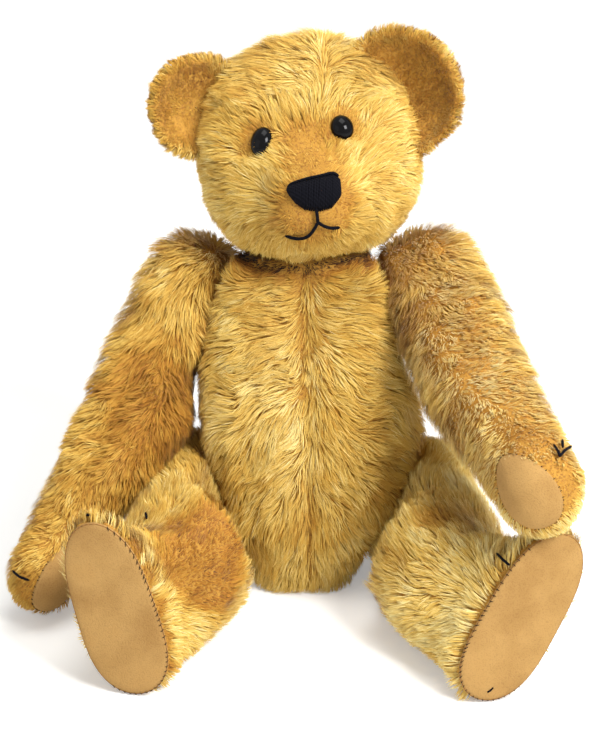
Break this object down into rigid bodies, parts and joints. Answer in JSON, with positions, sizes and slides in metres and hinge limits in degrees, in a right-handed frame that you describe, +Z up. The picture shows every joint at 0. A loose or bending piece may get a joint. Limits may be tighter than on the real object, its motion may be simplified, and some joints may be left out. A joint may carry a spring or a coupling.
{
  "type": "teddy bear",
  "caption": "Worn, sitting mohair bear stuffed with wood wool: a round head, limbs on disc joints, felt paws and soles, a stitched nose and boot-button eyes. A toy to hold and pose.",
  "frame": {"origin": "on the flat that the body sits on, under its middle, at floor level", "axes": "+X to the bear's own left, -Y the way it faces, +Z up; the bear is stored sitting, as pictured"},
  "size_m": [0.2748, 0.2331, 0.2797],
  "materials": {
    "mohair": "straw-gold mohair pile, thin and matted in places, clipped on the muzzle",
    "felt": "flat buff wool felt, slightly pilled",
    "wood_wool": "fine wood shavings, packed firm, hidden inside",
    "board": "pressed joint disc, hidden inside",
    "steel": "plain steel washer and split pin, hidden inside",
    "thread": "black embroidery thread laid side by side",
    "eye_glass": "opaque black glass eye, polished"
  },
  "bodies": {
    "torso": {"body_panel_left": "mohair", "body_panel_right": "mohair", "body_stuffing": "wood_wool", "neck_body_disc": "board", "neck_body_washer": "steel", "neck_split_pin": "steel", "shoulder_left_body_disc": "board", "shoulder_left_body_washer": "steel", "shoulder_left_split_pin": "steel", "shoulder_right_body_disc": "board", "shoulder_right_body_washer": "steel", "shoulder_right_split_pin": "steel", "hip_left_body_disc": "board", "hip_left_body_washer": "steel", "hip_left_split_pin": "steel", "hip_right_body_disc": "board", "hip_right_body_washer": "steel", "hip_right_split_pin": "steel"},
    "head": {"head_gusset": "mohair", "head_panel_left": "mohair", "head_panel_right": "mohair", "head_stuffing": "wood_wool", "nose": "thread", "mouth_stitch": "thread", "eye_left": "eye_glass", "eye_right": "eye_glass", "ear_left_front": "mohair", "ear_left_back": "mohair", "ear_right_front": "mohair", "ear_right_back": "mohair", "neck_outer_disc": "board", "neck_outer_washer": "steel"},
    "arm_left": {"arm_left_outer_panel": "mohair", "arm_left_inner_panel": "mohair", "paw_pad_left": "felt", "arm_left_stuffing": "wood_wool", "shoulder_left_outer_disc": "board", "shoulder_left_outer_washer": "steel"},
    "leg_left": {"leg_left_outer_panel": "mohair", "leg_left_inner_panel": "mohair", "sole_pad_left": "felt", "leg_left_stuffing": "wood_wool", "hip_left_outer_disc": "board", "hip_left_outer_washer": "steel"},
    "arm_right": {"arm_right_outer_panel": "mohair", "arm_right_inner_panel": "mohair", "paw_pad_right": "felt", "arm_right_stuffing": "wood_wool", "shoulder_right_outer_disc": "board", "shoulder_right_outer_washer": "steel"},
    "leg_right": {"leg_right_outer_panel": "mohair", "leg_right_inner_panel": "mohair", "sole_pad_right": "felt", "leg_right_stuffing": "wood_wool", "hip_right_outer_disc": "board", "hip_right_outer_washer": "steel"}
  },
  "joints": [
    {"name": "neck_turn", "type": "hinge", "parent": "torso", "child": "head", "pos_m": [0.00243, 0.02779, 0.16668], "axis": [-0.0698, 0.1732, 0.9824], "continuous": true},
    {"name": "shoulder_left_swing", "type": "hinge", "parent": "torso", "child": "arm_left", "pos_m": [0.04234, 0.01553, 0.13874], "axis": [0.9435, 0.2265, 0.2419], "range_deg": [-55, 0]},
    {"name": "shoulder_right_swing", "type": "hinge", "parent": "torso", "child": "arm_right", "pos_m": [-0.0378, 0.02254, 0.13874], "axis": [0.8815, -0.3833, -0.2756], "range_deg": [-90, 0]},
    {"name": "hip_left_swing", "type": "hinge", "parent": "torso", "child": "leg_left", "pos_m": [0.04411, -0.00868, 0.04643], "axis": [0.8606, 0.2306, -0.454], "range_deg": [0, 55]},
    {"name": "hip_right_swing", "type": "hinge", "parent": "torso", "child": "leg_right", "pos_m": [-0.0359, -0.00168, 0.04643], "axis": [0.9208, -0.1873, 0.342], "range_deg": [0, 55]}
  ]
}
